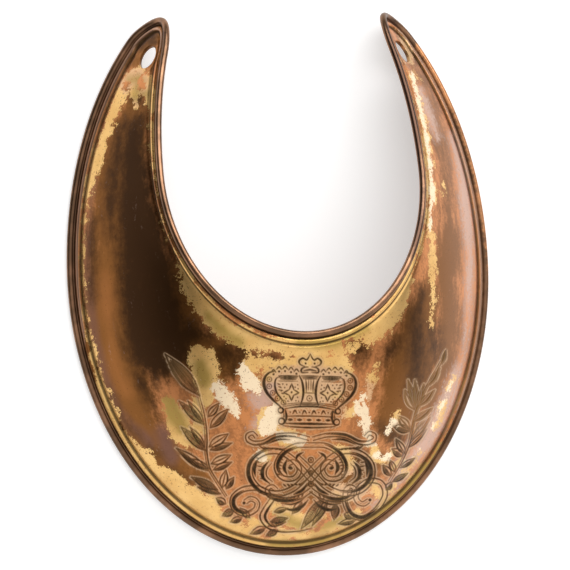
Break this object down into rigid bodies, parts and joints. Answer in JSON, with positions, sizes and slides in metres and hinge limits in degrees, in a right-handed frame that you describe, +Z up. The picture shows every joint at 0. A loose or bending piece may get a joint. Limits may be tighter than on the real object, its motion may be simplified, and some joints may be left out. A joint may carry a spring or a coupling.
{
  "type": "gilt copper gorget",
  "caption": "Crescent-shaped officer's gorget of gilt copper: a domed sheet with a rolled and swaged border and a ribbon hole in each horn.",
  "frame": {"origin": "on the surface that the plate lies on, under the middle of its length and width", "axes": "+Z up out of that surface, through the domed face; +Y towards the horn tips; +X to the right of someone who looks down on the face with the horns away from them"},
  "size_m": [0.1072, 0.1352, 0.0393],
  "materials": {
    "gilt_copper": "fire-gilt copper, engraved, the gilding rubbed away over much of the field to brown-toned bare copper"
  },
  "bodies": {
    "root": {"gorget_plate": "gilt_copper"}
  },
  "joints": []
}
